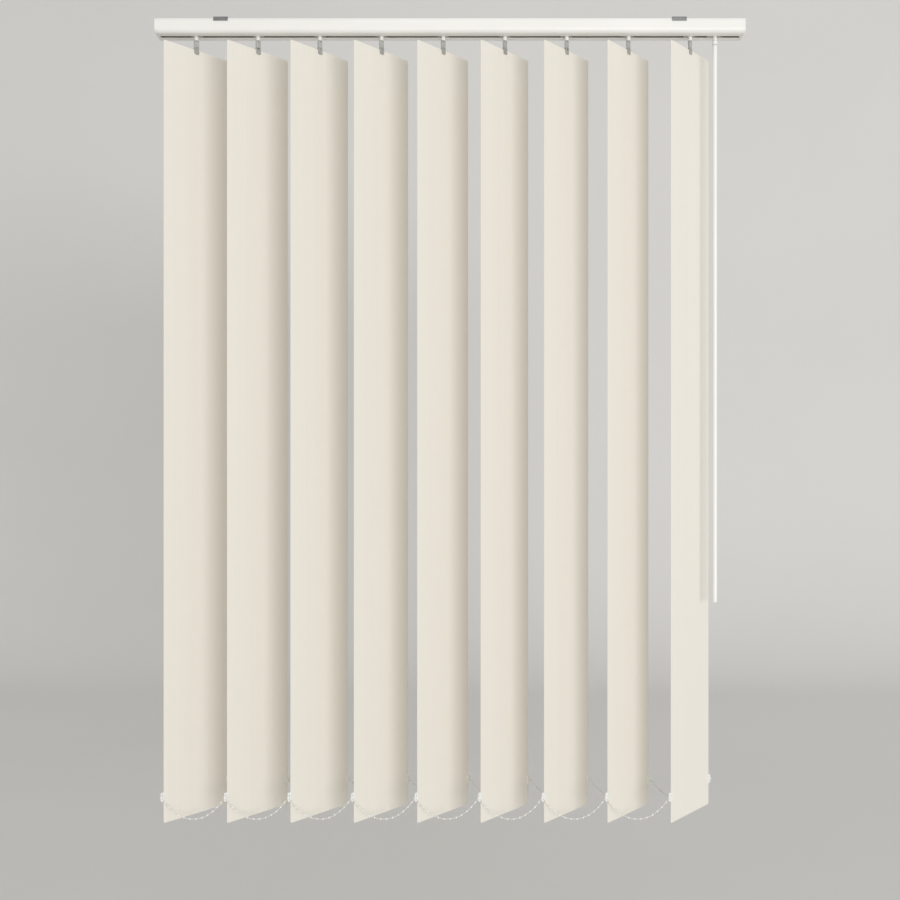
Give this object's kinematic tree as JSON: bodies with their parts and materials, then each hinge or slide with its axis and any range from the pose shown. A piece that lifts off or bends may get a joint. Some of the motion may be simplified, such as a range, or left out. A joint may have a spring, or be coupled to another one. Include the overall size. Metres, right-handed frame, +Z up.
{
  "type": "vertical blind",
  "caption": "Vertical blind: flat cream slats hung from a slotted white headrail, joined by bead chains and turned and drawn by a wand.",
  "frame": {"origin": "on the plane of the bracket tops, midway between the two screw holes, above the slot's middle", "axes": "+X along the headrail to the right seen from the room, +Y away from the room, +Z up"},
  "size_m": [1.042, 0.1012, 1.4105],
  "materials": {
    "headrail": "satin powder coat",
    "end_cap": "moulded, satin",
    "bracket": "zinc plated",
    "rod": "drawn",
    "carrier": "moulded, satin",
    "gear": "moulded",
    "stem": "smoky, polished",
    "vane": "matt PVC",
    "chain": "moulded",
    "wand": "moulded"
  },
  "bodies": {
    "headrail": {"headrail": "headrail", "end_cap_left": "end_cap", "end_cap_right": "end_cap", "bracket_left": "bracket", "bracket_right": "bracket", "carrier_1": "carrier"},
    "tilt_rod": {"tilt_rod": "rod"},
    "worm_1": {"worm_1": "gear"},
    "vane_1": {"stem_1": "stem", "vane_1": "vane", "chain_clips_1": "chain"},
    "carrier_2": {"carrier_2": "carrier"},
    "worm_2": {"worm_2": "gear"},
    "vane_2": {"stem_2": "stem", "vane_2": "vane", "chain_clips_2": "chain"},
    "carrier_3": {"carrier_3": "carrier"},
    "worm_3": {"worm_3": "gear"},
    "vane_3": {"stem_3": "stem", "vane_3": "vane", "chain_clips_3": "chain"},
    "carrier_4": {"carrier_4": "carrier"},
    "worm_4": {"worm_4": "gear"},
    "vane_4": {"stem_4": "stem", "vane_4": "vane", "chain_clips_4": "chain"},
    "carrier_5": {"carrier_5": "carrier"},
    "worm_5": {"worm_5": "gear"},
    "vane_5": {"stem_5": "stem", "vane_5": "vane", "chain_clips_5": "chain"},
    "carrier_6": {"carrier_6": "carrier"},
    "worm_6": {"worm_6": "gear"},
    "vane_6": {"stem_6": "stem", "vane_6": "vane", "chain_clips_6": "chain"},
    "carrier_7": {"carrier_7": "carrier"},
    "worm_7": {"worm_7": "gear"},
    "vane_7": {"stem_7": "stem", "vane_7": "vane", "chain_clips_7": "chain"},
    "carrier_8": {"carrier_8": "carrier"},
    "worm_8": {"worm_8": "gear"},
    "vane_8": {"stem_8": "stem", "vane_8": "vane", "chain_clips_8": "chain"},
    "carrier_9": {"carrier_9": "carrier"},
    "worm_9": {"worm_9": "gear"},
    "vane_9": {"stem_9": "stem", "vane_9": "vane", "chain_clips_9": "chain"},
    "front_chain": {"front_chain": "chain"},
    "rear_chain": {"rear_chain": "chain"},
    "wand_carrier": {"wand_carrier": "carrier"},
    "wand_pinion": {"wand_pinion": "gear"},
    "wand_gear": {"wand_gear": "wand"},
    "wand_swing": {"wand_joint": "wand"},
    "wand": {"wand_rod": "wand", "wand_tip": "wand"}
  },
  "joints": [
    {"name": "tilt", "type": "hinge", "parent": "headrail", "child": "vane_1", "pos_m": [-0.452, 0, 0], "axis": [0, 0, 1], "range_deg": [-37, 127]},
    {"name": "draw", "type": "slide", "parent": "headrail", "child": "carrier_9", "axis": [-1, 0, 0], "range_m": [0, 0.688], "deforming": ["front_chain", "rear_chain"]},
    {"name": "worm_spin_1", "type": "hinge", "parent": "headrail", "child": "worm_1", "pos_m": [-0.452, 0.0105, -0.0125], "axis": [1, 0, 0], "range_deg": [-222, 762]},
    {"name": "draw_2", "type": "slide", "parent": "headrail", "child": "carrier_2", "axis": [-1, 0, 0], "range_m": [0, 0.086]},
    {"name": "tilt_2", "type": "hinge", "parent": "carrier_2", "child": "vane_2", "pos_m": [-0.342, 0, 0], "axis": [0, 0, 1], "range_deg": [-37, 127]},
    {"name": "worm_spin_2", "type": "hinge", "parent": "carrier_2", "child": "worm_2", "pos_m": [-0.342, 0.0105, -0.0125], "axis": [1, 0, 0], "range_deg": [-222, 762]},
    {"name": "draw_3", "type": "slide", "parent": "headrail", "child": "carrier_3", "axis": [-1, 0, 0], "range_m": [0, 0.172]},
    {"name": "tilt_3", "type": "hinge", "parent": "carrier_3", "child": "vane_3", "pos_m": [-0.232, 0, 0], "axis": [0, 0, 1], "range_deg": [-37, 127]},
    {"name": "worm_spin_3", "type": "hinge", "parent": "carrier_3", "child": "worm_3", "pos_m": [-0.232, 0.0105, -0.0125], "axis": [1, 0, 0], "range_deg": [-222, 762]},
    {"name": "draw_4", "type": "slide", "parent": "headrail", "child": "carrier_4", "axis": [-1, 0, 0], "range_m": [0, 0.258]},
    {"name": "tilt_4", "type": "hinge", "parent": "carrier_4", "child": "vane_4", "pos_m": [-0.122, 0, 0], "axis": [0, 0, 1], "range_deg": [-37, 127]},
    {"name": "worm_spin_4", "type": "hinge", "parent": "carrier_4", "child": "worm_4", "pos_m": [-0.122, 0.0105, -0.0125], "axis": [1, 0, 0], "range_deg": [-222, 762]},
    {"name": "draw_5", "type": "slide", "parent": "headrail", "child": "carrier_5", "axis": [-1, 0, 0], "range_m": [0, 0.344]},
    {"name": "tilt_5", "type": "hinge", "parent": "carrier_5", "child": "vane_5", "pos_m": [-0.012, 0, 0], "axis": [0, 0, 1], "range_deg": [-37, 127]},
    {"name": "worm_spin_5", "type": "hinge", "parent": "carrier_5", "child": "worm_5", "pos_m": [-0.012, 0.0105, -0.0125], "axis": [1, 0, 0], "range_deg": [-222, 762]},
    {"name": "draw_6", "type": "slide", "parent": "headrail", "child": "carrier_6", "axis": [-1, 0, 0], "range_m": [0, 0.43]},
    {"name": "tilt_6", "type": "hinge", "parent": "carrier_6", "child": "vane_6", "pos_m": [0.098, 0, 0], "axis": [0, 0, 1], "range_deg": [-37, 127]},
    {"name": "worm_spin_6", "type": "hinge", "parent": "carrier_6", "child": "worm_6", "pos_m": [0.098, 0.0105, -0.0125], "axis": [1, 0, 0], "range_deg": [-222, 762]},
    {"name": "draw_7", "type": "slide", "parent": "headrail", "child": "carrier_7", "axis": [-1, 0, 0], "range_m": [0, 0.516]},
    {"name": "tilt_7", "type": "hinge", "parent": "carrier_7", "child": "vane_7", "pos_m": [0.208, 0, 0], "axis": [0, 0, 1], "range_deg": [-37, 127]},
    {"name": "worm_spin_7", "type": "hinge", "parent": "carrier_7", "child": "worm_7", "pos_m": [0.208, 0.0105, -0.0125], "axis": [1, 0, 0], "range_deg": [-222, 762]},
    {"name": "draw_8", "type": "slide", "parent": "headrail", "child": "carrier_8", "axis": [-1, 0, 0], "range_m": [0, 0.602]},
    {"name": "tilt_8", "type": "hinge", "parent": "carrier_8", "child": "vane_8", "pos_m": [0.318, 0, 0], "axis": [0, 0, 1], "range_deg": [-37, 127]},
    {"name": "worm_spin_8", "type": "hinge", "parent": "carrier_8", "child": "worm_8", "pos_m": [0.318, 0.0105, -0.0125], "axis": [1, 0, 0], "range_deg": [-222, 762]},
    {"name": "tilt_9", "type": "hinge", "parent": "carrier_9", "child": "vane_9", "pos_m": [0.428, 0, 0], "axis": [0, 0, 1], "range_deg": [-37, 127]},
    {"name": "worm_spin_9", "type": "hinge", "parent": "carrier_9", "child": "worm_9", "pos_m": [0.428, 0.0105, -0.0125], "axis": [1, 0, 0], "range_deg": [-222, 762]},
    {"name": "rod_spin", "type": "hinge", "parent": "headrail", "child": "tilt_rod", "pos_m": [0, 0.0105, -0.0125], "axis": [1, 0, 0], "range_deg": [-222, 762]},
    {"name": "draw_wand", "type": "slide", "parent": "headrail", "child": "wand_carrier", "axis": [-1, 0, 0], "range_m": [0, 0.688]},
    {"name": "pinion_spin", "type": "hinge", "parent": "wand_carrier", "child": "wand_pinion", "pos_m": [0.472, 0.0105, -0.0125], "axis": [1, 0, 0], "range_deg": [-222, 762]},
    {"name": "gear_spin", "type": "hinge", "parent": "wand_carrier", "child": "wand_gear", "pos_m": [0.472, 0, 0], "axis": [0, 0, 1], "range_deg": [-222, 762]},
    {"name": "wand_swing", "type": "hinge", "parent": "wand_carrier", "child": "wand_swing", "pos_m": [0.472, 0, -0.0385], "axis": [0, -1, 0], "range_deg": [0, 25]},
    {"name": "wand_spin", "type": "hinge", "parent": "wand_swing", "child": "wand", "pos_m": [0.472, 0, -0.0385], "axis": [0, 0, 1], "range_deg": [-222, 762]},
    {"name": "front_chain_turn", "type": "hinge", "parent": "vane_1", "child": "front_chain", "pos_m": [-0.50008, -0.04808, -1.3645], "axis": [0, 0, 1], "range_deg": [-127, 37]},
    {"name": "rear_chain_turn", "type": "hinge", "parent": "vane_1", "child": "rear_chain", "pos_m": [-0.40392, 0.04808, -1.3645], "axis": [0, 0, 1], "range_deg": [-127, 37]}
  ],
  "couplings": [
    {"joint": "worm_spin_1", "follows": "tilt", "ratio": 6},
    {"joint": "draw_2", "follows": "draw", "ratio": 0.125},
    {"joint": "tilt_2", "follows": "tilt", "ratio": 1},
    {"joint": "worm_spin_2", "follows": "tilt", "ratio": 6},
    {"joint": "draw_3", "follows": "draw", "ratio": 0.25},
    {"joint": "tilt_3", "follows": "tilt", "ratio": 1},
    {"joint": "worm_spin_3", "follows": "tilt", "ratio": 6},
    {"joint": "draw_4", "follows": "draw", "ratio": 0.375},
    {"joint": "tilt_4", "follows": "tilt", "ratio": 1},
    {"joint": "worm_spin_4", "follows": "tilt", "ratio": 6},
    {"joint": "draw_5", "follows": "draw", "ratio": 0.5},
    {"joint": "tilt_5", "follows": "tilt", "ratio": 1},
    {"joint": "worm_spin_5", "follows": "tilt", "ratio": 6},
    {"joint": "draw_6", "follows": "draw", "ratio": 0.625},
    {"joint": "tilt_6", "follows": "tilt", "ratio": 1},
    {"joint": "worm_spin_6", "follows": "tilt", "ratio": 6},
    {"joint": "draw_7", "follows": "draw", "ratio": 0.75},
    {"joint": "tilt_7", "follows": "tilt", "ratio": 1},
    {"joint": "worm_spin_7", "follows": "tilt", "ratio": 6},
    {"joint": "draw_8", "follows": "draw", "ratio": 0.875},
    {"joint": "tilt_8", "follows": "tilt", "ratio": 1},
    {"joint": "worm_spin_8", "follows": "tilt", "ratio": 6},
    {"joint": "tilt_9", "follows": "tilt", "ratio": 1},
    {"joint": "worm_spin_9", "follows": "tilt", "ratio": 6},
    {"joint": "rod_spin", "follows": "tilt", "ratio": 6},
    {"joint": "draw_wand", "follows": "draw", "ratio": 1},
    {"joint": "pinion_spin", "follows": "tilt", "ratio": 6},
    {"joint": "gear_spin", "follows": "tilt", "ratio": 6},
    {"joint": "wand_spin", "follows": "tilt", "ratio": 6},
    {"joint": "front_chain_turn", "follows": "tilt", "ratio": -1},
    {"joint": "rear_chain_turn", "follows": "tilt", "ratio": -1}
  ]
}
